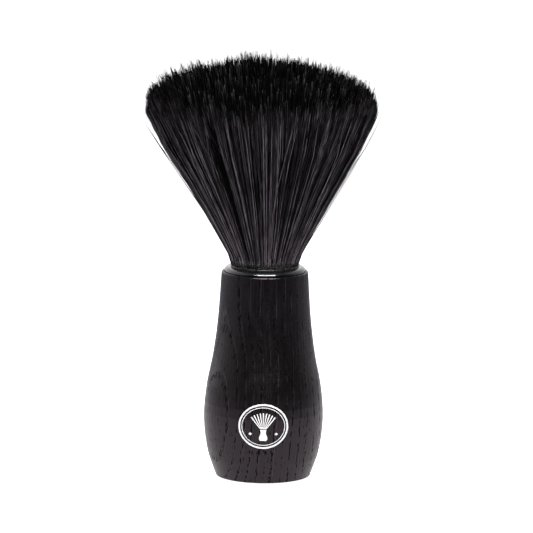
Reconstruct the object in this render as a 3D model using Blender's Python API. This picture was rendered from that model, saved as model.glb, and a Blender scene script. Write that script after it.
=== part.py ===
"""Neck duster brush: a turned ash handle, a gloss collar and a fanned bristle knot.

Everything is turned about one axis. The frame is in metres with +Z up along that axis, and the
origin is the centre of the base, on the surface that the brush stands on.
"""

import math

import bmesh
import bpy
from mathutils import Matrix, Vector

MM = 0.001
FIT = 0.3 * MM  # clearance between two pieces that meet

# Handle: height, and the radius at a few heights. The curve between them is smooth.
HANDLE_HEIGHT = 81.0 * MM
HANDLE_STATIONS = [
    (0.0 * MM, 18.5 * MM),
    (10.0 * MM, 21.9 * MM),
    (23.0 * MM, 23.4 * MM),
    (36.0 * MM, 22.35 * MM),
    (48.0 * MM, 20.0 * MM),
    (62.0 * MM, 18.2 * MM),
    (HANDLE_HEIGHT, 16.9 * MM),
]
HANDLE_STEPS = 22
TOP_ROUND = 0.7 * MM
BASE_ROUND = 0.6 * MM

# Collar: a ring whose spigot sits in a counterbore at the mouth of the handle's socket.
COLLAR_BORE_RADIUS = 13.2 * MM
COLLAR_OUTER_RADIUS = 15.95 * MM
COLLAR_HEIGHT = 2.0 * MM
COLLAR_LIP = 0.35 * MM  # width of the level inner lip
SPIGOT_RADIUS = 14.4 * MM
SPIGOT_DEPTH = 4.7 * MM

# Socket and knot, from the bottom of the bore upwards.
SOCKET_DEPTH = 24.0 * MM
KNOT_RADIUS = 12.9 * MM
GLUE_THICKNESS = 1.2 * MM
PLUG_TOP_BELOW_HANDLE = 2.2 * MM
ROOT_ABOVE_HANDLE = 3.2 * MM

# Fan of bristles. Heights are measured from the top of the handle.
FLARE_START = 3.2 * MM
FLARE_SLOPE = 0.515
FLARE_SOFTNESS = 0.6 * MM
FLARE_WIDENING = 0.93  # per metre: how the flare steepens with height
TURN_IN_START = 52.0 * MM
TURN_IN = 19.0  # per metre: how the outer bristles turn back up near their tips
DOME_HEIGHT = 84.5 * MM
DOME_FALL = 11.6 * MM  # how far the tips fall from the middle to the rim
DOME_FALL_POWER = 1.8
RIM_FALL = 7.0 * MM  # a further fall right at the rim, where the bristles are shorter
RIM_FALL_POWER = 16
FLEX_LIMIT = math.radians(20.0)  # how far the fan can bend over to either side
FLEX_SPARE = math.radians(1.5)

ROUND_SEGMENTS = 72
FAN_SEGMENTS = 48
FAN_SIDE_STEPS = 12
FAN_DOME_STEPS = 10
ARC_STEPS = 5

HANDLE_TOP = Vector((0.0, 0.0, HANDLE_HEIGHT))
FLEX_POINT = HANDLE_TOP + Vector((0.0, 0.0, ROOT_ABOVE_HANDLE))


def clear_scene():
    for obj in list(bpy.data.objects):
        bpy.data.objects.remove(obj)


def make_material(name, colour, roughness):
    material = bpy.data.materials.new(name)
    material.use_nodes = True
    shader = material.node_tree.nodes["Principled BSDF"]
    shader.inputs["Base Color"].default_value = (*colour, 1.0)
    shader.inputs["Roughness"].default_value = roughness
    shader.inputs["Metallic"].default_value = 0.0
    material.diffuse_color = (*colour, 1.0)
    return material


def arc(centre_r, centre_z, radius_r, radius_z, start_deg, end_deg, steps=ARC_STEPS):
    """Points (r, z) along an elliptical arc, both ends included."""
    points = []
    for i in range(steps + 1):
        angle = math.radians(start_deg + (end_deg - start_deg) * i / steps)
        r = centre_r + radius_r * math.cos(angle)
        z = centre_z + radius_z * math.sin(angle)
        points.append((r, z))
    return points


def smooth_radius(stations, z):
    """Radius at height z on a smooth curve through the stations."""
    last = len(stations) - 2
    i = max(k for k in range(last + 1) if stations[k][0] <= z or k == 0)

    def slope(k):
        low = stations[max(k - 1, 0)]
        high = stations[min(k + 1, last + 1)]
        return (high[1] - low[1]) / (high[0] - low[0])

    (z0, r0), (z1, r1) = stations[i], stations[i + 1]
    span = z1 - z0
    t = (z - z0) / span
    ease = t * t * (3.0 - 2.0 * t)
    start_pull = t * (1.0 - t) ** 2 * slope(i)
    end_pull = t * t * (t - 1.0) * slope(i + 1)
    return r0 + (r1 - r0) * ease + span * (start_pull + end_pull)


def turned(name, profile, material, location, segments):
    """A closed solid turned about Z from a profile of (r, z) points that runs round its section.

    A profile that starts and ends on the axis makes a plain solid; any other is closed into a ring.
    """
    bm = bmesh.new()
    verts = [bm.verts.new((r, 0.0, z)) for r, z in profile]
    edges = [bm.edges.new(pair) for pair in zip(verts, verts[1:])]
    on_axis = profile[0][0] == 0.0 and profile[-1][0] == 0.0
    if not on_axis:
        edges.append(bm.edges.new((verts[-1], verts[0])))
    bmesh.ops.spin(
        bm,
        geom=verts + edges,
        cent=(0.0, 0.0, 0.0),
        axis=(0.0, 0.0, 1.0),
        angle=2.0 * math.pi,
        steps=segments,
        use_merge=True,
    )
    bmesh.ops.remove_doubles(bm, verts=bm.verts, dist=0.001 * MM)
    bmesh.ops.dissolve_degenerate(bm, edges=bm.edges, dist=0.001 * MM)
    bmesh.ops.recalc_face_normals(bm, faces=bm.faces)
    mesh = bpy.data.meshes.new(name)
    bm.to_mesh(mesh)
    bm.free()
    mesh.shade_smooth()
    mesh.set_sharp_from_angle(angle=math.radians(35.0))
    mesh.materials.append(material)
    obj = bpy.data.objects.new(name, mesh)
    obj.matrix_world = Matrix.Translation(location)
    bpy.context.scene.collection.objects.link(obj)
    return obj


def build_handle():
    """Turned ash handle with a blind socket, and a counterbore for the collar's spigot."""
    counterbore_radius = SPIGOT_RADIUS + FIT
    counterbore_floor = HANDLE_HEIGHT - SPIGOT_DEPTH - FIT
    socket_radius = KNOT_RADIUS + 2.0 * FIT
    socket_floor = HANDLE_HEIGHT - SOCKET_DEPTH
    base_radius = smooth_radius(HANDLE_STATIONS, BASE_ROUND)
    top_radius = smooth_radius(HANDLE_STATIONS, HANDLE_HEIGHT - TOP_ROUND)

    profile = [(0.0, 0.0)]
    profile += arc(base_radius - BASE_ROUND, BASE_ROUND, BASE_ROUND, BASE_ROUND, -90.0, 0.0)
    side_height = HANDLE_HEIGHT - TOP_ROUND - BASE_ROUND
    for i in range(1, HANDLE_STEPS):
        z = BASE_ROUND + side_height * i / HANDLE_STEPS
        profile.append((smooth_radius(HANDLE_STATIONS, z), z))
    profile += arc(
        top_radius - TOP_ROUND, HANDLE_HEIGHT - TOP_ROUND, TOP_ROUND, TOP_ROUND, 0.0, 90.0
    )
    profile += [
        (counterbore_radius, HANDLE_HEIGHT),
        (counterbore_radius, counterbore_floor),
        (socket_radius, counterbore_floor),
        (socket_radius, socket_floor),
        (0.0, socket_floor),
    ]
    wood = make_material("ash_wood", (0.022, 0.018, 0.020), 0.45)
    return turned("handle", profile, wood, (0.0, 0.0, 0.0), ROUND_SEGMENTS)


def build_collar():
    """Gloss ring: a rounded outer slope rises to a level lip, and a spigot goes down below it."""
    lip_radius = COLLAR_BORE_RADIUS + COLLAR_LIP
    slope_width = COLLAR_OUTER_RADIUS - lip_radius
    slope_height = COLLAR_HEIGHT - FIT
    profile = [
        (COLLAR_BORE_RADIUS, -SPIGOT_DEPTH),
        (SPIGOT_RADIUS, -SPIGOT_DEPTH),
        (SPIGOT_RADIUS, FIT),
    ]
    profile += arc(lip_radius, FIT, slope_width, slope_height, 0.0, 90.0, steps=9)
    profile += [
        (COLLAR_BORE_RADIUS + 0.3 * COLLAR_LIP, COLLAR_HEIGHT),
        (COLLAR_BORE_RADIUS, COLLAR_HEIGHT - 0.5 * COLLAR_LIP),
    ]
    gloss = make_material("collar_gloss", (0.006, 0.006, 0.007), 0.12)
    return turned("collar_ring", profile, gloss, HANDLE_TOP, ROUND_SEGMENTS)


def build_disc(name, radius, bottom, top, material, segments):
    profile = [(0.0, bottom), (radius, bottom), (radius, top), (0.0, top)]
    return turned(name, profile, material, HANDLE_TOP, segments)


def build_knot_seat():
    """Glue under the plug, the resin plug that the roots are cast in, and the stiff bristle root."""
    socket_bottom = -SOCKET_DEPTH + FIT
    glue_top = socket_bottom + GLUE_THICKNESS
    plug_top = -PLUG_TOP_BELOW_HANDLE
    glue = make_material("epoxy", (0.36, 0.29, 0.16), 0.35)
    resin = make_material("resin", (0.030, 0.028, 0.026), 0.30)
    bristle = make_material("bristle", (0.020, 0.018, 0.021), 0.55)
    build_disc("glue_bed", KNOT_RADIUS, socket_bottom, glue_top, glue, ROUND_SEGMENTS)
    build_disc("knot_plug", KNOT_RADIUS, glue_top + FIT, plug_top, resin, ROUND_SEGMENTS)
    build_disc(
        "bristle_root", KNOT_RADIUS, plug_top + FIT, ROOT_ABOVE_HANDLE, bristle, ROUND_SEGMENTS
    )
    return bristle


def flare_radius(height):
    """Radius of the outermost bristles at a height above the handle."""
    rise = height - FLARE_START
    radius = KNOT_RADIUS + FLARE_SLOPE * (math.hypot(rise, FLARE_SOFTNESS) - FLARE_SOFTNESS)
    past = max(0.0, height - TURN_IN_START)
    return radius + FLARE_WIDENING * rise * rise - TURN_IN * past * past


def tip_height(share):
    """Height of the bristle tips above the handle; share is 0 in the middle and 1 at the rim."""
    fall = DOME_FALL * share**DOME_FALL_POWER
    return DOME_HEIGHT - fall - RIM_FALL * share**RIM_FALL_POWER


def build_fan(material):
    """The free length of the bristles, as one closed solid that turns about its root.

    Its underside is a cone that rises from the flex point, so it clears the root at full flex.
    """
    rim_height = tip_height(1.0)
    rim_radius = flare_radius(rim_height)
    cone_slope = math.tan(FLEX_LIMIT + FLEX_SPARE)
    cone_start = ROOT_ABOVE_HANDLE + FIT
    low = cone_start
    high = rim_height
    while high - low > 0.01 * MM:
        middle = (low + high) / 2.0
        if middle - cone_start < cone_slope * flare_radius(middle):
            low = middle
        else:
            high = middle

    profile = [(0.0, cone_start)]
    for i in range(FAN_SIDE_STEPS):
        height = high + (rim_height - high) * i / FAN_SIDE_STEPS
        profile.append((flare_radius(height), height))
    for i in range(FAN_DOME_STEPS + 1):
        share = math.cos(math.radians(90.0) * i / FAN_DOME_STEPS)
        profile.append((rim_radius * share, tip_height(share)))
    profile[-1] = (0.0, DOME_HEIGHT)
    placed = [(r, z - ROOT_ABOVE_HANDLE) for r, z in profile]
    return turned("bristle_fan", placed, material, FLEX_POINT, FAN_SEGMENTS)


def main():
    clear_scene()
    build_handle()
    build_collar()
    bristle = build_knot_seat()
    build_fan(bristle)


main()
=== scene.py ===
"""Neck duster brush: filaments, wood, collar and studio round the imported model. Metres, +Z up."""

import math

import bmesh
import bpy
import numpy as np
from mathutils import Matrix, Vector
from mathutils.bvhtree import BVHTree


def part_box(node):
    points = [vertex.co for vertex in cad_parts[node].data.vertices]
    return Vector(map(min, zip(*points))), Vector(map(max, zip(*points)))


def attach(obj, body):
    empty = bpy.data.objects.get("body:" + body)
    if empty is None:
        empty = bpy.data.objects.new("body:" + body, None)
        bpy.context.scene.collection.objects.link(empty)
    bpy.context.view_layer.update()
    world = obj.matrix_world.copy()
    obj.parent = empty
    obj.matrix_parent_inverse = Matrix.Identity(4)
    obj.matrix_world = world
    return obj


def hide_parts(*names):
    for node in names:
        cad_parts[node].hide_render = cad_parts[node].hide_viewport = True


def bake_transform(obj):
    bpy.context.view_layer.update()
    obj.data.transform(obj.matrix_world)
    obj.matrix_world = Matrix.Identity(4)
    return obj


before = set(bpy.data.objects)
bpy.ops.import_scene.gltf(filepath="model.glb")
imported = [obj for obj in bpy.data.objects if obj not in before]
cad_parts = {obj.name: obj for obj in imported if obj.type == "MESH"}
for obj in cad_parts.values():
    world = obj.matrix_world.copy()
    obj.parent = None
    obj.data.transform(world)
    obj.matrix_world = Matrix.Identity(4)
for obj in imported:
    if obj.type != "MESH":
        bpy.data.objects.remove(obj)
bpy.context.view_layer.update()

MM = 0.001
SEED = 11
rng = np.random.default_rng(SEED)

# Places that come from the frame.
HANDLE_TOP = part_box("handle")[1].z
ROOT_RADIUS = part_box("bristle_root")[1].x - 0.3 * MM
ROOT_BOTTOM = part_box("bristle_root")[0].z
FAN_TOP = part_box("bristle_fan")[1].z

# Outline of the fan, close to the CAD solid's; heights are above the handle.
FLARE_START = 3.2 * MM
FLARE_SLOPE = 0.525
FLARE_SOFTNESS = 0.2 * MM
FLARE_WIDENING = 0.93  # per metre: how the flare steepens with height
TURN_IN_START = 53.0 * MM
TURN_IN = 19.0  # per metre: how the outer filaments turn back up near their tips
DOME_HEIGHT = FAN_TOP - HANDLE_TOP
DOME_FALL = 10.6 * MM
DOME_FALL_POWER = 1.8
RIM_FALL = 8.3 * MM
RIM_FALL_POWER = 20
TIP_SETBACK = 1.65 * MM  # how far the shortest tufts stay under the outline
LEAN = (-0.015, -0.25)  # the fan's set to one side: times height, and times height squared

# Filaments.
TUFTS = 4700
TUFT_DISORDER = 0.35  # in tuft spacings
RIM_TUFTS = 2000
RIM_SHARE = 0.93  # the extra tufts round the rim start at this share of the radius
RIM_UNEVEN = 0.010  # how unevenly the outermost filaments lie, as a share of the radius
FIBRES_PER_TUFT = 3
FIBRE_PIECES = 8
FIBRE_STEPS = 8
FIBRE_SIDES = 3
STEP_POWER = 1.6  # steps are closer together near the root, where the filaments flare
ROOT_THICKNESS = 0.24 * MM
TIP_THICKNESS = 0.11 * MM
TAPER_POWER = 4.0  # a filament keeps its thickness and narrows towards its tip
SWAY = 0.30 * MM  # how far an ordinary filament bends and wavers
WAVER = 0.20 * MM
WAVER_TURN = 5.0  # radians of the waver along a filament
TUFT_GROWTH = 1.2 * MM  # how much longer than the shortest a tuft is: on average, and at most
TUFT_GROWTH_MOST = 4.6 * MM
TUFT_TAPER = 0.8 * MM  # how much lower a tuft gets away from its middle
TUFT_SPREAD = 0.6  # how far filaments lie from their tuft's middle, in tuft spacings
TUFT_GATHER = (0.6, 0.15)  # how much a tuft draws together at its tip, and how much that varies
SLOW_WAVES = 12  # waves that make the tufts longer here and shorter there
SLOW_WAVE_SIZE = 0.5 * MM
SLOW_WAVE_SPEED = 9.0  # radians per radius of the fan, about
OWN_LENGTH = 0.2 * MM  # how much a filament's length varies
OWN_SHORTENING = 0.9 * MM  # how much shorter than its tuft a filament is on average
LOOSE_SHARE = 0.012  # share of the filaments that wander within the fan
LOOSE_BEND = 2.2 * MM
STRAYS = 80  # filaments that have left the fan's side
STRAY_OUT = (0.3 * MM, 3.0 * MM)
STRAY_ACROSS = 4.0 * MM
STRAY_LEAVES = (0.15, 0.7)  # where strays leave the fan, as a share of their length
STRAY_TIPS = (-8.0 * MM, 1.0 * MM)  # heights of their tips, from the rim's
# The strays get painted highlights: their ranks lie high in the outer half of U.
STRAY_PAINTED_LIGHT = (0.7, 0.98)
OUTSIDE_SHARE = 0.95  # filaments past this share of the radius are at the outside
OUTSIDE_COLUMN = 0.5  # U of the map is over this for filaments at the outside
# Painted highlights and painted shadow streaks on the filaments: how much of them comes from the tuft
# and how much from the filament itself.
PAINTED_LIGHT_WEIGHTS = (1.0, 0.7)  # of the tuft and the filament itself
THICKNESS_SPREAD = 0.15  # how much filaments differ in thickness
# The dark band at the root is partly resin and partly painted shadow under the fan.
ROOT_RAGGED = 0.012  # how unevenly the resin has climbed the filaments, as a share of their length
UV_WIDTH = 0.001  # how far apart in U the sides of a filament are

# Bead of resin round the root.
BEAD_RADIUS = 13.0 * MM
BEAD_THICKNESS = 0.40 * MM
BEAD_RISE = 2.15 * MM  # above the handle
BEAD_AROUND = 160  # faces round the bead, and round its section
BEAD_SECTION = 10
# Its unevenness: waves round it, where they start, and their size.
BEAD_WAVES = ((5.0, 1.0, 1.0), (11.0, 0.0, 0.7), (23.0, 0.0, 0.5))
BEAD_UNEVEN = 0.10

# Printed emblem on the front of the belly.
EMBLEM_HEIGHT = 23.5 * MM
INK_TOP = 0.05 * MM
INK_BOTTOM = -0.04 * MM
INK_ACROSS = 4  # faces across a printed stroke

# Wood: the pith lies outside the handle and leans a little.
PITH_PLACE = (-50.0 * MM, -31.0 * MM)
PITH_TILT = (math.radians(2.0), math.radians(1.0))
RING_PITCH = 3.2 * MM
GRAIN_WANDER = 10.0 * MM  # the grain is pushed sideways by about a quarter of this at most
WANDER_SCALE = 14.0
YEAR_SCALE = 140.0  # how quickly the rings' spacing changes from year to year

# Soft boxes: name, place, width, height, power.
LIGHTS = [
    ("overhead", (0.0, 0.0, 1.5), 1.5, 1.5, 4.0),
    ("key", (0.04, -1.0, 0.95), 1.2, 0.5, 26.0),
]
BACKDROP_SIDE = (-0.25, 0.97, 0.0)  # the way to the middle of the bright backdrop
# Glow of the room, from straight in front (0) round to the middle of the backdrop (1).
ROOM_GLOW = [(0.0, 0.015), (0.1, 0.02), (0.2, 0.05), (0.3, 0.12), (0.42, 0.28), (0.6, 0.43)]
ROOM_GLOW += [(0.72, 0.55), (0.88, 0.85), (1.0, 1.0)]
MATTE_GLOW = 0.45  # share of the room's glow that falls on matte surfaces
CARD_RADII = (18.8 * MM, 820.0 * MM)
CARD_FADE = (60.0 * MM, 800.0 * MM)  # the card's glow falls to nothing between these radii
CARD_GLOW = 0.95
CARD_NEAR = (1.0, 0.96, 0.97)
CARD_FAR = (0.80, 0.76, 1.0)

# Camera.
CAMERA_DISTANCE = 2.0
CAMERA_ELEVATION = math.radians(9.7)
CAMERA_ROLL = math.radians(0.6)
CAMERA_AIM = (0.6 * MM, 1.6 * MM)  # to the right of the axis, and above the handle
FRAME_WIDTH = 208.0 * MM
SENSOR = 36.0
ROOM_RADIUS = 9.0  # of the floor and the cove


# ---------------------------------------------------------------- node helpers


def new_material(name, colour, roughness):
    """A Principled material, with its node tree and shader."""
    material = bpy.data.materials.new(name)
    material.use_nodes = True
    tree = material.node_tree
    shader = tree.nodes["Principled BSDF"]
    shader.inputs["Base Color"].default_value = (*colour, 1.0)
    shader.inputs["Roughness"].default_value = roughness
    return material, tree, shader


def add(tree, kind, **values):
    """A node with some of its properties or inputs set."""
    node = tree.nodes.new(kind)
    for key, value in values.items():
        if hasattr(node, key):
            setattr(node, key, value)
        else:
            node.inputs[key.replace("_", " ")].default_value = value
    return node


def ramp(tree, source, stops):
    """A colour ramp fed by source; stops are (position, grey or colour)."""
    node = tree.nodes.new("ShaderNodeValToRGB")
    elements = node.color_ramp.elements
    while len(elements) < len(stops):
        elements.new(0.5)
    for element, (position, colour) in zip(elements, stops):
        element.position = position
        rgb = colour if isinstance(colour, tuple) else (colour, colour, colour)
        element.color = (*rgb, 1.0)
    tree.links.new(source, node.inputs["Fac"])
    return node.outputs["Color"]


def math_node(tree, operation, a, b=None):
    """The outcome of one operation on a and b, which are numbers or sockets."""
    node = tree.nodes.new("ShaderNodeMath")
    node.operation = operation
    for socket, value in zip(node.inputs, (a, b)):
        if value is None:
            continue
        if isinstance(value, (int, float)):
            socket.default_value = value
        else:
            tree.links.new(value, socket)
    return node.outputs[0]


def mix_colour(tree, factor, a, b, blend="MIX"):
    """Colours or sockets a and b mixed by a factor, which is a number or a socket."""
    node = tree.nodes.new("ShaderNodeMix")
    node.data_type = "RGBA"
    node.blend_type = blend
    for socket, value in ((node.inputs["Factor"], factor), (node.inputs[6], a), (node.inputs[7], b)):
        if isinstance(value, tuple):
            socket.default_value = (*value, 1.0)
        elif isinstance(value, float):
            socket.default_value = value
        else:
            tree.links.new(value, socket)
    return node.outputs[2]


def stretched(tree, place, scale):
    """The place times a scale for each axis; a pattern gets longer where the scale is small."""
    node = add(tree, "ShaderNodeMapping")
    node.inputs["Scale"].default_value = scale
    tree.links.new(place, node.inputs["Vector"])
    return node.outputs[0]


def noise(tree, place, scale, detail=2.0, roughness=0.5):
    """A noise texture at the place."""
    node = add(tree, "ShaderNodeTexNoise", Scale=scale, Detail=detail, Roughness=roughness)
    tree.links.new(place, node.inputs["Vector"])
    return node


def bump(tree, shader, height, strength, distance):
    """Relief on the shader's surface."""
    node = add(tree, "ShaderNodeBump", Strength=strength, Distance=distance)
    tree.links.new(height, node.inputs["Height"])
    tree.links.new(node.outputs[0], shader.inputs["Normal"])


# ---------------------------------------------------------------- materials


def wandering(tree, place):
    """The place, pushed a few millimetres to the side as the grain wanders."""
    wander = noise(tree, place, WANDER_SCALE)
    shift = add(tree, "ShaderNodeVectorMath", operation="SUBTRACT")
    tree.links.new(wander.outputs["Color"], shift.inputs[0])
    shift.inputs[1].default_value = (0.5, 0.5, 0.5)
    scaled = add(tree, "ShaderNodeVectorMath", operation="MULTIPLY")
    tree.links.new(shift.outputs[0], scaled.inputs[0])
    scaled.inputs[1].default_value = (GRAIN_WANDER, GRAIN_WANDER, 0.0)
    warped = add(tree, "ShaderNodeVectorMath", operation="ADD")
    tree.links.new(place, warped.inputs[0])
    tree.links.new(scaled.outputs[0], warped.inputs[1])
    return warped.outputs[0]


def pith_distance(tree, place):
    """Distance from the pith."""
    pith = add(tree, "ShaderNodeMapping")
    pith.inputs["Location"].default_value = (-PITH_PLACE[0], -PITH_PLACE[1], 0.0)
    pith.inputs["Rotation"].default_value = (*PITH_TILT, 0.0)
    tree.links.new(place, pith.inputs["Vector"])
    split = add(tree, "ShaderNodeSeparateXYZ")
    tree.links.new(pith.outputs[0], split.inputs[0])
    x_squared = math_node(tree, "MULTIPLY", split.outputs["X"], split.outputs["X"])
    y_squared = math_node(tree, "MULTIPLY", split.outputs["Y"], split.outputs["Y"])
    return math_node(tree, "SQRT", math_node(tree, "ADD", x_squared, y_squared))


def wood_material():
    """Black-stained ash: growth rings cut by the turned shape, open pores, and a satin finish."""
    material, tree, shader = new_material("black_stained_ash", (0.02, 0.018, 0.02), 0.3)
    place = wandering(tree, add(tree, "ShaderNodeTexCoord").outputs["Object"])
    distance = pith_distance(tree, place)
    years = add(tree, "ShaderNodeTexNoise", noise_dimensions="1D", Scale=YEAR_SCALE, Detail=1.0)
    tree.links.new(distance, years.inputs["W"])
    ring = math_node(tree, "DIVIDE", distance, RING_PITCH)
    ring = math_node(tree, "FRACT", math_node(tree, "ADD", ring, years.outputs["Fac"]))
    early = ramp(tree, ring, [(0.0, 0.9), (0.12, 1.0), (0.22, 0.1), (0.92, 0.0), (1.0, 0.9)])
    pale_line = ramp(tree, ring, [(0.20, 0.0), (0.235, 1.0), (0.27, 0.0)])

    dashes = noise(tree, stretched(tree, place, (1.0, 1.0, 0.22)), 1600.0, 1.0, 0.5).outputs["Fac"]
    pore_level = math_node(tree, "ADD", dashes, math_node(tree, "MULTIPLY", early, 0.20))
    pores = ramp(tree, pore_level, [(0.675, 0.0), (0.73, 1.0)])
    lines = add(tree, "ShaderNodeTexNoise", noise_dimensions="1D", Scale=2600.0, Detail=3.0)
    tree.links.new(distance, lines.inputs["W"])
    strands = noise(tree, stretched(tree, place, (1.0, 1.0, 0.04)), 1100.0, 4.0, 0.65).outputs["Fac"]
    grain = mix_colour(tree, 0.5, lines.outputs["Fac"], strands)
    mottle = noise(tree, stretched(tree, place, (1.0, 1.0, 0.5)), 380.0, 3.0, 0.6).outputs["Fac"]

    late = ramp(tree, grain, [(0.38, (0.0026, 0.0022, 0.0025)), (0.62, (0.0042, 0.0035, 0.0039))])
    stained = ramp(tree, mottle, [(0.35, 0.55), (0.65, 1.25)])
    late = mix_colour(tree, 1.0, late, stained, "MULTIPLY")
    broken = math_node(tree, "MULTIPLY", pale_line, ramp(tree, strands, [(0.42, 0.0), (0.58, 1.0)]))
    lined = mix_colour(tree, broken, late, (0.040, 0.033, 0.035))
    faint_early = math_node(tree, "MULTIPLY", early, 0.2)
    banded = mix_colour(tree, faint_early, lined, (0.0016, 0.0013, 0.0016))
    colour = mix_colour(tree, pores, banded, (0.0006, 0.0005, 0.0006))
    tree.links.new(colour, shader.inputs["Base Color"])

    smooth = ramp(tree, grain, [(0.38, 0.20), (0.62, 0.28)])
    pored = mix_colour(tree, pores, smooth, (0.6, 0.6, 0.6))
    tree.links.new(pored, shader.inputs["Roughness"])
    shine = mix_colour(tree, pores, (1.0, 0.86, 0.94), (0.08, 0.07, 0.08))
    tree.links.new(shine, shader.inputs["Specular Tint"])

    relief = math_node(tree, "ADD", pores, math_node(tree, "MULTIPLY", early, 0.12))
    height = math_node(tree, "SUBTRACT", math_node(tree, "MULTIPLY", grain, 0.4), relief)
    bump(tree, shader, height, 0.25, 0.10 * MM)
    return material


def collar_material():
    """Gloss black with faint turning lines and handling haze."""
    material, tree, shader = new_material("gloss_black", (0.004, 0.004, 0.0045), 0.1)
    place = add(tree, "ShaderNodeTexCoord").outputs["Object"]
    haze = noise(tree, place, 220.0, 4.0).outputs["Fac"]
    tree.links.new(ramp(tree, haze, [(0.35, 0.12), (0.75, 0.20)]), shader.inputs["Roughness"])
    tint = ramp(tree, haze, [(0.3, (0.003, 0.003, 0.0035)), (0.8, (0.007, 0.007, 0.0075))])
    tree.links.new(tint, shader.inputs["Base Color"])
    lines = noise(tree, stretched(tree, place, (0.02, 0.02, 1.0)), 9000.0, 1.0).outputs["Fac"]
    bump(tree, shader, lines, 0.08, 0.02 * MM)
    shader.inputs["Specular IOR Level"].default_value = 1.0
    shader.inputs["Coat Weight"].default_value = 1.0
    shader.inputs["Coat Roughness"].default_value = 0.08
    return material


def bristle_material():
    """Synthetic filament, with painted light in its colour. U of the OFBake map is the filament's
    rank from painted shadow to painted highlight, V runs along it.

    The lower half of U is for filaments inside the fan, painted in shadow, of which only the tips
    show, mostly dark with a few painted highlights.
    """
    material, tree, shader = new_material("black_filament", (0.02, 0.018, 0.02), 0.35)
    uv = add(tree, "ShaderNodeUVMap", uv_map="OFBake")
    split = add(tree, "ShaderNodeSeparateXYZ")
    tree.links.new(uv.outputs[0], split.inputs[0])
    across, along = split.outputs["X"], split.outputs["Y"]
    is_outer = math_node(tree, "GREATER_THAN", across, OUTSIDE_COLUMN)
    value = math_node(tree, "FRACT", math_node(tree, "DIVIDE", across, OUTSIDE_COLUMN))

    # Painted light on the outer filaments: the dark ranks are painted shadow in the gaps between
    # tufts, and the light ranks are painted highlights.
    outer_painted_light = ramp(
        tree,
        value,
        [
            (0.0, (0.0007, 0.0006, 0.0007)),
            (0.30, (0.0035, 0.0031, 0.0035)),
            (0.60, (0.020, 0.0178, 0.020)),
            (0.85, (0.093, 0.083, 0.093)),
            (1.0, (0.32, 0.283, 0.323)),
        ],
    )
    # Along the outer filaments: a dark band at the root, partly resin that climbed the roots and
    # partly painted shadow under the fan, then painted shadow that deepens towards the tips.
    root_resin_and_painted_shade = [(0.0, 0.03), (0.085, 0.05), (0.105, 1.0)]
    outer_resin_and_painted_shade = ramp(tree, along, root_resin_and_painted_shade + [(0.40, 0.85), (0.80, 0.8), (0.93, 0.5), (1.0, 0.2)])
    outer = mix_colour(tree, 1.0, outer_painted_light, outer_resin_and_painted_shade, "MULTIPLY")
    # Painted highlights broken up along the filaments' length.
    painted_highlight_breaks = noise(tree, stretched(tree, uv.outputs[0], (500.0, 11.0, 1.0)), 1.0, 1.0).outputs["Fac"]
    outer = mix_colour(tree, 1.0, outer, ramp(tree, painted_highlight_breaks, [(0.35, 0.4), (0.65, 1.6)]), "MULTIPLY")
    # Painted glints on the dark band at the root, just above the collar.
    painted_glints = noise(tree, stretched(tree, uv.outputs[0], (500.0, 170.0, 1.0)), 1.0, 0.0).outputs["Fac"]
    painted_glints = ramp(tree, painted_glints, [(0.60, 0.0), (0.68, 0.2)])
    wicked = ramp(tree, along, [(0.05, 0.0), (0.07, 1.0), (0.105, 1.0), (0.115, 0.0)])
    outer = mix_colour(tree, 1.0, outer, mix_colour(tree, 1.0, painted_glints, wicked, "MULTIPLY"), "ADD")

    # Filaments inside the fan are painted in shadow along their length, with painted highlights on
    # the tips of a few.
    inner_painted_light = ramp(tree, value, [(0.0, 0.0002), (0.85, 0.0004), (0.92, 0.010), (1.0, 0.25)])
    inner_painted_shade = ramp(tree, along, [(0.0, 0.1), (0.95, 0.2), (0.98, 0.4), (0.988, 1.0)])
    inner = mix_colour(tree, 1.0, inner_painted_light, inner_painted_shade, "MULTIPLY")

    tree.links.new(mix_colour(tree, is_outer, inner, outer), shader.inputs["Base Color"])
    shader.inputs["Specular IOR Level"].default_value = 0.02
    return material


def bead_material():
    """The thin dark line of resin that was squeezed out between the knot and the collar."""
    material, tree, shader = new_material("squeezed_resin", (0.005, 0.005, 0.005), 0.15)
    place = add(tree, "ShaderNodeTexCoord").outputs["Object"]
    lumps = noise(tree, place, 700.0, 3.0).outputs["Fac"]
    tree.links.new(ramp(tree, lumps, [(0.35, 0.10), (0.65, 0.55)]), shader.inputs["Roughness"])
    tint = ramp(tree, lumps, [(0.4, (0.004, 0.004, 0.004)), (0.7, (0.012, 0.011, 0.010))])
    tree.links.new(tint, shader.inputs["Base Color"])
    bump(tree, shader, lumps, 0.6, 0.15 * MM)
    shader.inputs["Specular IOR Level"].default_value = 0.6
    return material


def ink_material():
    """White ink with small gaps where it meets the grain."""
    material, tree, shader = new_material("white_ink", (0.85, 0.85, 0.86), 0.5)
    place = add(tree, "ShaderNodeTexCoord").outputs["Object"]
    gaps = noise(tree, stretched(tree, place, (1.0, 1.0, 0.15)), 1500.0, 3.0).outputs["Fac"]
    tree.links.new(ramp(tree, gaps, [(0.26, 0.5), (0.38, 0.9)]), shader.inputs["Base Color"])
    return material


def resin_material():
    """Dark casting resin, clouded where it wicked in among the roots."""
    material, tree, shader = new_material("casting_resin", (0.03, 0.028, 0.026), 0.3)
    place = add(tree, "ShaderNodeTexCoord").outputs["Object"]
    cloud = noise(tree, place, 300.0, 4.0).outputs["Fac"]
    tint = ramp(tree, cloud, [(0.35, (0.018, 0.017, 0.016)), (0.7, (0.045, 0.041, 0.037))])
    tree.links.new(tint, shader.inputs["Base Color"])
    tree.links.new(ramp(tree, cloud, [(0.3, 0.22), (0.7, 0.42)]), shader.inputs["Roughness"])
    return material


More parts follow.
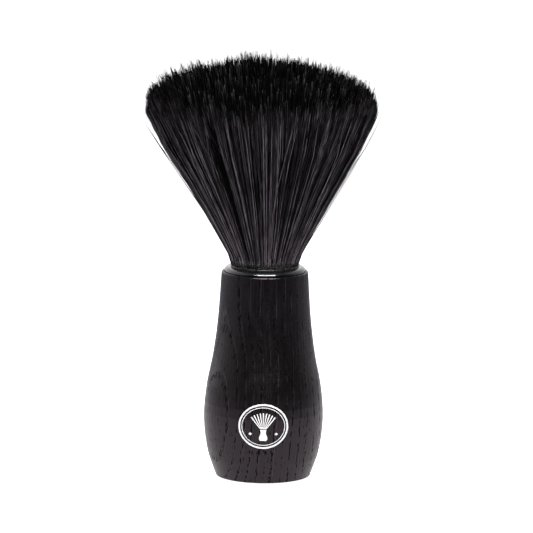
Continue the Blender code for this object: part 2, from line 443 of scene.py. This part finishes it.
def glue_material():
    """Amber epoxy with small trapped bubbles."""
    material, tree, shader = new_material("epoxy", (0.36, 0.29, 0.16), 0.3)
    place = add(tree, "ShaderNodeTexCoord").outputs["Object"]
    bubbles = add(tree, "ShaderNodeTexVoronoi", Scale=900.0)
    tree.links.new(place, bubbles.inputs["Vector"])
    spots = ramp(tree, bubbles.outputs["Distance"], [(0.12, 1.0), (0.2, 0.0)])
    cloud = noise(tree, place, 150.0, 3.0).outputs["Fac"]
    amber = mix_colour(tree, cloud, (0.30, 0.22, 0.10), (0.42, 0.34, 0.20))
    tree.links.new(mix_colour(tree, spots, amber, (0.55, 0.5, 0.38)), shader.inputs["Base Color"])
    bump(tree, shader, spots, 0.3, 0.1 * MM)
    return material


def floor_material():
    """A white that glows, so that the floor has no edge against the cove."""
    material, _, shader = new_material("pale_floor", (0.92, 0.92, 0.92), 0.6)
    shader.inputs["Emission Color"].default_value = (1.0, 1.0, 1.0, 1.0)
    shader.inputs["Emission Strength"].default_value = 1.0
    return material


def card_material():
    """Light that comes up off the table, most of it near the brush."""
    material, tree, shader = new_material("card_white", (0.0, 0.0, 0.0), 1.0)
    shader.inputs["Specular IOR Level"].default_value = 0.0
    shader.inputs["Emission Color"].default_value = (1.0, 1.0, 1.0, 1.0)
    reach = add(tree, "ShaderNodeVectorMath", operation="LENGTH")
    tree.links.new(add(tree, "ShaderNodeTexCoord").outputs["Object"], reach.inputs[0])
    fade = add(tree, "ShaderNodeMapRange", interpolation_type="SMOOTHSTEP")
    tree.links.new(reach.outputs["Value"], fade.inputs["Value"])
    fade.inputs["From Min"].default_value = CARD_FADE[0]
    fade.inputs["From Max"].default_value = CARD_FADE[1]
    fade.inputs["To Min"].default_value = CARD_GLOW
    fade.inputs["To Max"].default_value = 0.0
    tree.links.new(fade.outputs[0], shader.inputs["Emission Strength"])
    colour = mix_colour(tree, fade.outputs[0], CARD_FAR, CARD_NEAR)
    tree.links.new(colour, shader.inputs["Emission Color"])
    return material


# ---------------------------------------------------------------- filaments


def flare_radius(height):
    """Radius of the outermost filaments at heights above the handle."""
    rise = np.maximum(0.0, height - FLARE_START)
    radius = ROOT_RADIUS + FLARE_SLOPE * (np.hypot(rise, FLARE_SOFTNESS) - FLARE_SOFTNESS)
    past = np.maximum(0.0, height - TURN_IN_START)
    return radius + FLARE_WIDENING * rise * rise - TURN_IN * past * past


def tip_height(share):
    """Height of the tips above the handle; share is 0 in the middle and 1 at the rim."""
    fall = DOME_FALL * share**DOME_FALL_POWER
    return DOME_HEIGHT - fall - RIM_FALL * share**RIM_FALL_POWER


def tuft_centres():
    """Points spread evenly over the unit disc with a little disorder, and more round its rim."""
    index = np.arange(TUFTS) + 0.5
    radius = np.sqrt(index / TUFTS)
    angle = index * math.pi * (3.0 - math.sqrt(5.0))
    even = np.stack([radius * np.cos(angle), radius * np.sin(angle)], 1)
    even += rng.normal(0.0, TUFT_DISORDER / math.sqrt(TUFTS), even.shape)
    rim_radius = rng.uniform(RIM_SHARE, 1.0, RIM_TUFTS)
    rim_angle = rng.uniform(0.0, 2.0 * math.pi, RIM_TUFTS)
    rim = np.stack([rim_radius * np.cos(rim_angle), rim_radius * np.sin(rim_angle)], 1)
    return np.concatenate([even, rim])


def slow_noise(points, waves, size):
    """A smooth random height over the unit disc, made of a few random waves."""
    total = np.zeros(len(points))
    for _ in range(waves):
        direction = rng.normal(0.0, SLOW_WAVE_SPEED, 2)
        total += np.sin(points @ direction + rng.uniform(0.0, 2.0 * math.pi))
    return total * size / math.sqrt(waves / 2.0)


def painted_light_ranks(tuft_of_fibre, share):
    """U of the OFBake map for each filament: its rank from painted shadow to painted highlight, in
    the half for its place.
    """
    count = len(tuft_of_fibre)
    outside = share > OUTSIDE_SHARE
    tuft_painted_light = rng.normal(0.0, PAINTED_LIGHT_WEIGHTS[0], tuft_of_fibre.max() + 1)
    total = tuft_painted_light[tuft_of_fibre] + rng.normal(0.0, PAINTED_LIGHT_WEIGHTS[1], count)
    u = np.zeros(count)
    for members, start in ((~outside, 0.0), (outside, OUTSIDE_COLUMN)):
        rank = np.argsort(np.argsort(total[members])) + 0.5
        u[members] = start + OUTSIDE_COLUMN * (0.01 + 0.98 * rank / members.sum())
    return u


def filaments():
    """Centre lines of all the filaments, as (fibre, step, xyz), and U of each one's map."""
    tufts = tuft_centres()
    spacing = 1.0 / math.sqrt(TUFTS)
    growth = rng.exponential(TUFT_GROWTH, len(tufts)).clip(0.0, TUFT_GROWTH_MOST)
    tuft_length = growth + slow_noise(tufts, SLOW_WAVES, SLOW_WAVE_SIZE)
    centres = np.repeat(tufts, FIBRES_PER_TUFT, 0)
    count = len(centres)
    offsets = rng.normal(0.0, TUFT_SPREAD * spacing, (count, 2))
    gather = np.clip(rng.normal(*TUFT_GATHER, count), 0.0, 1.0)
    off_middle = np.linalg.norm(offsets, axis=1) / (TUFT_SPREAD * spacing)
    own_length = rng.normal(0.0, OWN_LENGTH, count) - rng.exponential(OWN_SHORTENING, count)
    own_length -= TUFT_TAPER * off_middle
    length_change = np.repeat(tuft_length, FIBRES_PER_TUFT) + own_length

    t = steps_along()
    pull = t * t * (3.0 - 2.0 * t)
    q = centres[:, None, :] + offsets[:, None, :] * (1.0 - gather[:, None] * pull)[..., None]
    reach = np.linalg.norm(q, axis=2)
    limit = 1.0 + rng.normal(0.0, RIM_UNEVEN, (count, 1))
    q *= np.minimum(1.0, limit / np.maximum(reach, 1e-9))[..., None]
    share = np.minimum(reach[:, -1], 1.0)

    full = tip_height(share)
    start = ROOT_BOTTOM - HANDLE_TOP
    tip = full - TIP_SETBACK + length_change
    height = start + (tip - start)[:, None] * t
    outline = tip_height(1.0) / full
    spread = flare_radius(height * outline[:, None])

    bend = np.where(rng.random(count) < LOOSE_SHARE, LOOSE_BEND, SWAY)
    drift = rng.normal(0.0, 1.0, (count, 2)) * bend[:, None]
    wobble = rng.normal(0.0, WAVER, (count, 2))
    phase = rng.uniform(0.0, 2.0 * math.pi, count)
    free = np.clip(t * 1.15 - 0.1, 0.0, 1.0)  # the resin holds the root, and the tip is free
    wave = np.sin(phase[:, None] + WAVER_TURN * t) * free
    xy = q * spread[..., None]
    xy += drift[:, None, :] * (free**2)[None, :, None]
    xy += wobble[:, None, :] * wave[..., None]
    tuft_of_fibre = np.repeat(np.arange(len(tufts)), FIBRES_PER_TUFT)
    return leaning(xy, height), painted_light_ranks(tuft_of_fibre, share)


def strays():
    """Centre lines of the few filaments that have left the fan's side, and U of each one's map."""
    t = steps_along()
    leave = rng.uniform(*STRAY_LEAVES, STRAYS)[:, None]
    gone = np.clip((t - leave) / (1.0 - leave), 0.0, 1.0)
    start = ROOT_BOTTOM - HANDLE_TOP
    tip = tip_height(1.0) + rng.uniform(*STRAY_TIPS, STRAYS)[:, None]
    height = start + (tip - start) * t
    out = rng.uniform(*STRAY_OUT, STRAYS)[:, None] * gone**0.7
    across = rng.normal(0.0, STRAY_ACROSS, STRAYS)[:, None] * gone**1.5
    angle = rng.uniform(0.0, 2.0 * math.pi, STRAYS)[:, None]
    radius = flare_radius(height) + out
    x = radius * np.cos(angle) - across * np.sin(angle)
    y = radius * np.sin(angle) + across * np.cos(angle)
    u = OUTSIDE_COLUMN + (1.0 - OUTSIDE_COLUMN) * rng.uniform(*STRAY_PAINTED_LIGHT, STRAYS)
    return leaning(np.stack([x, y], 2), height), u


def steps_along():
    """The points along a filament, as shares of its length."""
    return np.linspace(0.0, 1.0, FIBRE_STEPS) ** STEP_POWER


def leaning(xy, height):
    """Full places from x and y and the height above the handle, with the fan's set to one side."""
    above = np.maximum(height, 0.0)
    xy[..., 0] += LEAN[0] * above + LEAN[1] * above**2
    return np.concatenate([xy, (HANDLE_TOP + height)[..., None]], 2)


def fibre_mesh(name, paths, painted_light_rank, thickness_scale, material):
    """One mesh of tapered three-sided filaments, each a closed body, along the given paths."""
    count, steps, _ = paths.shape
    t = steps_along()
    width = ROOT_THICKNESS + (TIP_THICKNESS - ROOT_THICKNESS) * t**TAPER_POWER
    tangent = np.gradient(paths, axis=1)
    tangent /= np.linalg.norm(tangent, axis=2, keepdims=True)
    twist = rng.uniform(0.0, 2.0 * math.pi, count)
    side = np.stack([np.cos(twist), np.sin(twist), np.zeros(count)], 1)[:, None, :]
    across = np.cross(tangent, side)
    across /= np.linalg.norm(across, axis=2, keepdims=True)
    along = np.cross(across, tangent)
    angles = np.arange(FIBRE_SIDES) * 2.0 * math.pi / FIBRE_SIDES
    circle = (
        across[:, :, None, :] * np.cos(angles)[None, None, :, None]
        + along[:, :, None, :] * np.sin(angles)[None, None, :, None]
    )
    radius = width[None, :, None, None] / 2.0 * thickness_scale[:, None, None, None]
    ring = paths[:, :, None, :] + circle * radius
    verts = ring.reshape(-1, 3)

    sides = np.arange(FIBRE_SIDES)
    after = (sides + 1) % FIBRE_SIDES
    step = np.arange(steps - 1)[:, None]
    quads = np.stack(
        [
            step * FIBRE_SIDES + sides,
            step * FIBRE_SIDES + after,
            (step + 1) * FIBRE_SIDES + after,
            (step + 1) * FIBRE_SIDES + sides,
        ],
        2,
    ).reshape(-1, 4)
    base = np.arange(count)[:, None, None] * steps * FIBRE_SIDES
    quads = (quads[None] + base).reshape(-1, 4)
    root_cap = (sides[::-1][None] + base[:, 0]).reshape(-1, FIBRE_SIDES)
    tip_cap = (sides[None] + (steps - 1) * FIBRE_SIDES + base[:, 0]).reshape(-1, FIBRE_SIDES)

    loops = np.concatenate([quads.ravel(), root_cap.ravel(), tip_cap.ravel()])
    sizes = np.concatenate([np.full(len(quads), 4), np.full(2 * count, FIBRE_SIDES)])
    starts = np.concatenate([[0], np.cumsum(sizes)[:-1]])
    mesh = bpy.data.meshes.new(name)
    mesh.vertices.add(len(verts))
    mesh.vertices.foreach_set("co", verts.astype(np.float32).ravel())
    mesh.loops.add(len(loops))
    mesh.loops.foreach_set("vertex_index", loops.astype(np.int32))
    mesh.polygons.add(len(sizes))
    mesh.polygons.foreach_set("loop_start", starts.astype(np.int32))
    mesh.polygons.foreach_set("use_smooth", sizes == 4)
    mesh.update(calc_edges=True)

    fibre_of_vert = np.repeat(np.arange(count), steps * FIBRE_SIDES)
    step_of_vert = np.tile(np.repeat(np.arange(steps), FIBRE_SIDES), count)
    side_of_vert = np.tile(sides, count * steps)
    u = painted_light_rank[fibre_of_vert] + (side_of_vert - 1) * UV_WIDTH
    ragged = np.abs(rng.normal(0.0, ROOT_RAGGED, count))[fibre_of_vert]
    v = 0.01 + 0.98 * t[step_of_vert] - ragged * (1.0 - t[step_of_vert])
    uv = np.stack([u[loops], np.maximum(v[loops], 0.0)], 1)
    layer = mesh.uv_layers.new(name="OFBake")
    layer.data.foreach_set("uv", uv.astype(np.float32).ravel())
    mesh.materials.append(material)
    obj = bpy.data.objects.new(name, mesh)
    bpy.context.scene.collection.objects.link(obj)
    return obj


def build_bristles(material):
    """All the filaments, shared out among a few pieces, in place of the CAD fan and root."""
    paths, painted_light_rank = (np.concatenate(pair) for pair in zip(filaments(), strays()))
    order = rng.permutation(len(paths))
    for number, chosen in enumerate(np.array_split(order, FIBRE_PIECES)):
        scale = rng.normal(1.0, THICKNESS_SPREAD, len(chosen)).clip(0.6, 1.5)
        name = f"bristles_{number + 1}"
        piece = fibre_mesh(name, paths[chosen], painted_light_rank[chosen], scale, material)
        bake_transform(piece)
    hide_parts("bristle_fan", "bristle_root")


def build_bead(material):
    """An uneven turned bead of resin round the root, where it goes into the collar."""
    bm = bmesh.new()
    rings = []
    for i in range(BEAD_AROUND):
        angle = 2.0 * math.pi * i / BEAD_AROUND
        uneven = sum(size * math.sin(waves * angle + start) for waves, start, size in BEAD_WAVES)
        thickness = BEAD_THICKNESS * (1.0 + BEAD_UNEVEN * uneven)
        rings.append([])
        for j in range(BEAD_SECTION):
            turn = 2.0 * math.pi * j / BEAD_SECTION
            radius = BEAD_RADIUS + thickness * math.cos(turn)
            height = HANDLE_TOP + BEAD_RISE + thickness * math.sin(turn)
            spot = (radius * math.cos(angle), radius * math.sin(angle), height)
            rings[-1].append(bm.verts.new(spot))
    for ring, following in zip(rings, rings[1:] + rings[:1]):
        for j in range(BEAD_SECTION):
            after = (j + 1) % BEAD_SECTION
            bm.faces.new((ring[j], following[j], following[after], ring[after]))
    bmesh.ops.recalc_face_normals(bm, faces=bm.faces)
    for face in bm.faces:
        face.smooth = True
    mesh = bpy.data.meshes.new("resin_bead")
    bm.to_mesh(mesh)
    bm.free()
    mesh.materials.append(material)
    bead = bpy.data.objects.new("resin_bead", mesh)
    bpy.context.scene.collection.objects.link(bead)
    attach(bead, "handle")


# ---------------------------------------------------------------- printed emblem


def handle_surface():
    """A function that gives the point on the handle at a distance to the side and a height."""
    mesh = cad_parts["handle"].data
    tree = BVHTree.FromPolygons([v.co for v in mesh.vertices], [p.vertices for p in mesh.polygons])
    belly_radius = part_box("handle")[1].x

    def point(across, up, lift):
        angle = across / belly_radius - math.pi / 2.0
        outward = Vector((math.cos(angle), math.sin(angle), 0.0))
        level = Vector((0.0, 0.0, EMBLEM_HEIGHT + up))
        hit = tree.ray_cast(level + outward * 2.0 * belly_radius, -outward)[0]
        return hit + outward * lift

    return point


def print_stroke(bm, place, line, half_widths, closed=False):
    """A thin closed shell of ink along a line of (across, up) points."""
    count = len(line)
    rows = []
    for i, (x, y) in enumerate(line):
        before = line[(i - 1) % count] if closed or i else line[0]
        after = line[(i + 1) % count] if closed or i < count - 1 else line[-1]
        along = Vector((after[0] - before[0], after[1] - before[1])).normalized()
        rows.append([])
        for lift in (INK_TOP, INK_BOTTOM):
            for j in range(INK_ACROSS + 1):
                shift = half_widths[i] * (1.0 - 2.0 * j / INK_ACROSS)
                spot = place(x - along.y * shift, y + along.x * shift, lift)
                rows[-1].append(bm.verts.new(spot))

    width = INK_ACROSS + 1
    loop = list(range(width)) + list(range(2 * width - 1, width - 1, -1))
    for row, following in zip(rows, rows[1:] + (rows[:1] if closed else [])):
        for a, b in zip(loop, loop[1:] + loop[:1]):
            bm.faces.new((row[a], row[b], following[b], following[a]))
    if not closed:
        for row in (rows[0], rows[-1]):
            for j in range(INK_ACROSS):
                bm.faces.new((row[j], row[j + 1], row[width + j + 1], row[width + j]))


def oval(half_width, half_height, points=120):
    """Points round an oval."""
    turn = [2.0 * math.pi * i / points for i in range(points)]
    return [(half_width * math.cos(a), half_height * math.sin(a)) for a in turn]


def straight(start, end, points):
    """Points along a straight line."""
    shares = [i / (points - 1) for i in range(points)]
    return [(start[0] + (end[0] - start[0]) * s, start[1] + (end[1] - start[1]) * s) for s in shares]


def build_emblem(material):
    """A plain oval badge with a small brush in it, printed round the front of the belly."""
    place = handle_surface()
    bm = bmesh.new()
    for half_width, half_height, ink in ((9.6, 8.5, 0.34), (8.5, 7.4, 0.13)):
        line = oval(half_width * MM, half_height * MM)
        print_stroke(bm, place, line, [ink * MM] * len(line), closed=True)

    hairs = 9
    for i in range(hairs):
        angle = math.radians(38.0) * (2.0 * i / (hairs - 1) - 1.0)
        ends = [(r * math.sin(angle) * MM, (r * math.cos(angle) - 2.3) * MM) for r in (2.4, 7.6)]
        print_stroke(bm, place, straight(*ends, 12), [(0.13 + 0.010 * k) * MM for k in range(12)])
    ferrule = straight((-1.5 * MM, -0.45 * MM), (1.5 * MM, -0.45 * MM), 6)
    print_stroke(bm, place, ferrule, [0.26 * MM] * len(ferrule))
    waist = [1.25, 1.1, 1.0, 1.05, 1.25, 1.5, 1.65, 1.6, 1.3]
    grip = straight((0.0, -1.1 * MM), (0.0, -5.6 * MM), len(waist))
    print_stroke(bm, place, grip, [w * MM for w in waist])
    for side in (-1.0, 1.0):
        diamond = [0.03, 0.3, 0.6, 0.3, 0.03]
        line = straight((side * 4.4 * MM, -2.9 * MM), (side * 5.8 * MM, -2.9 * MM), len(diamond))
        print_stroke(bm, place, line, [w * MM for w in diamond])

    bmesh.ops.recalc_face_normals(bm, faces=bm.faces)
    mesh = bpy.data.meshes.new("emblem")
    bm.to_mesh(mesh)
    bm.free()
    mesh.materials.append(material)
    emblem = bpy.data.objects.new("emblem", mesh)
    bpy.context.scene.collection.objects.link(emblem)
    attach(emblem, "handle")


# ---------------------------------------------------------------- studio


def area_light(name, place, target, width, height, power):
    """A soft box at a place, turned towards its target."""
    data = bpy.data.lights.new(name, "AREA")
    data.shape = "RECTANGLE"
    data.size = width
    data.size_y = height
    data.energy = power
    obj = bpy.data.objects.new(name, data)
    obj.location = place
    aim = Vector(target) - Vector(place)
    obj.rotation_euler = aim.to_track_quat("-Z", "Y").to_euler()
    bpy.context.scene.collection.objects.link(obj)


def stage_piece(name, bm, material, height=0.0):
    """A piece of the studio; as it comes, only the camera sees it."""
    mesh = bpy.data.meshes.new(name)
    bm.to_mesh(mesh)
    bm.free()
    mesh.materials.append(material)
    obj = bpy.data.objects.new(name, mesh)
    obj.location.z = height
    obj.visible_glossy = False
    obj.visible_diffuse = False
    bpy.context.scene.collection.objects.link(obj)
    return obj


def build_world():
    """A dim room with a bright backdrop behind the brush."""
    world = bpy.data.worlds.new("studio")
    bpy.context.scene.world = world
    world.use_nodes = True
    tree = world.node_tree
    background = tree.nodes["Background"]
    background.inputs["Color"].default_value = (1.0, 1.0, 1.0, 1.0)
    facing = add(tree, "ShaderNodeVectorMath", operation="DOT_PRODUCT")
    tree.links.new(add(tree, "ShaderNodeTexCoord").outputs["Generated"], facing.inputs[0])
    facing.inputs[1].default_value = BACKDROP_SIDE
    share = math_node(tree, "MULTIPLY", facing.outputs["Value"], 0.5)
    share = math_node(tree, "ADD", share, 0.5)
    is_matte = add(tree, "ShaderNodeLightPath").outputs["Is Diffuse Ray"]
    dimmed = math_node(tree, "SUBTRACT", 1.0, math_node(tree, "MULTIPLY", is_matte, 1.0 - MATTE_GLOW))
    glow = math_node(tree, "MULTIPLY", ramp(tree, share, ROOM_GLOW), dimmed)
    tree.links.new(glow, background.inputs["Strength"])


def build_studio():
    """A white floor and cove that only the camera sees, a glowing card, and soft boxes."""
    for name, place, width, height, power in LIGHTS:
        area_light(name, place, (0.0, 0.0, HANDLE_TOP), width, height, power)
    build_world()

    bm = bmesh.new()
    bmesh.ops.create_circle(bm, cap_ends=True, segments=96, radius=ROOM_RADIUS)
    stage_piece("floor", bm, floor_material(), -0.4 * MM)

    bm = bmesh.new()
    for radius in CARD_RADII:
        bmesh.ops.create_circle(bm, segments=96, radius=radius)
    bmesh.ops.bridge_loops(bm, edges=bm.edges)
    card = stage_piece("card", bm, card_material(), -0.2 * MM)
    card.visible_glossy = True
    card.visible_diffuse = True
    card.visible_camera = False
    card.visible_shadow = False

    bm = bmesh.new()
    bmesh.ops.create_uvsphere(bm, u_segments=48, v_segments=24, radius=ROOM_RADIUS)
    glow, _, shader = new_material("cove_white", (0.0, 0.0, 0.0), 1.0)
    shader.inputs["Emission Color"].default_value = (1.0, 1.0, 1.0, 1.0)
    shader.inputs["Emission Strength"].default_value = 1.0
    cove = stage_piece("cove", bm, glow)
    cove.visible_transmission = False
    cove.visible_shadow = False
    bpy.context.scene.view_settings.view_transform = "Standard"


def build_camera():
    """The camera in front of the brush, a little above it."""
    data = bpy.data.cameras.new("camera")
    data.sensor_width = SENSOR
    data.lens = SENSOR * CAMERA_DISTANCE / FRAME_WIDTH
    data.clip_start = 0.1
    data.clip_end = 50.0
    camera = bpy.data.objects.new("camera", data)
    target = Vector((CAMERA_AIM[0], 0.0, HANDLE_TOP + CAMERA_AIM[1]))
    back = Vector((0.0, -math.cos(CAMERA_ELEVATION), math.sin(CAMERA_ELEVATION)))
    camera.location = target + back * CAMERA_DISTANCE
    facing = (-back).to_track_quat("-Z", "Y").to_matrix().to_4x4()
    facing = facing @ Matrix.Rotation(CAMERA_ROLL, 4, "Z")
    camera.rotation_euler = facing.to_euler()
    bpy.context.scene.collection.objects.link(camera)
    bpy.context.scene.camera = camera


def dress(node, material):
    """Gives a CAD piece its material."""
    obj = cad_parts[node]
    obj.data.materials.clear()
    obj.data.materials.append(material)


def main():
    dress("handle", wood_material())
    dress("collar_ring", collar_material())
    dress("knot_plug", resin_material())
    dress("glue_bed", glue_material())
    build_bristles(bristle_material())
    build_bead(bead_material())
    build_emblem(ink_material())
    build_camera()
    build_studio()


main()
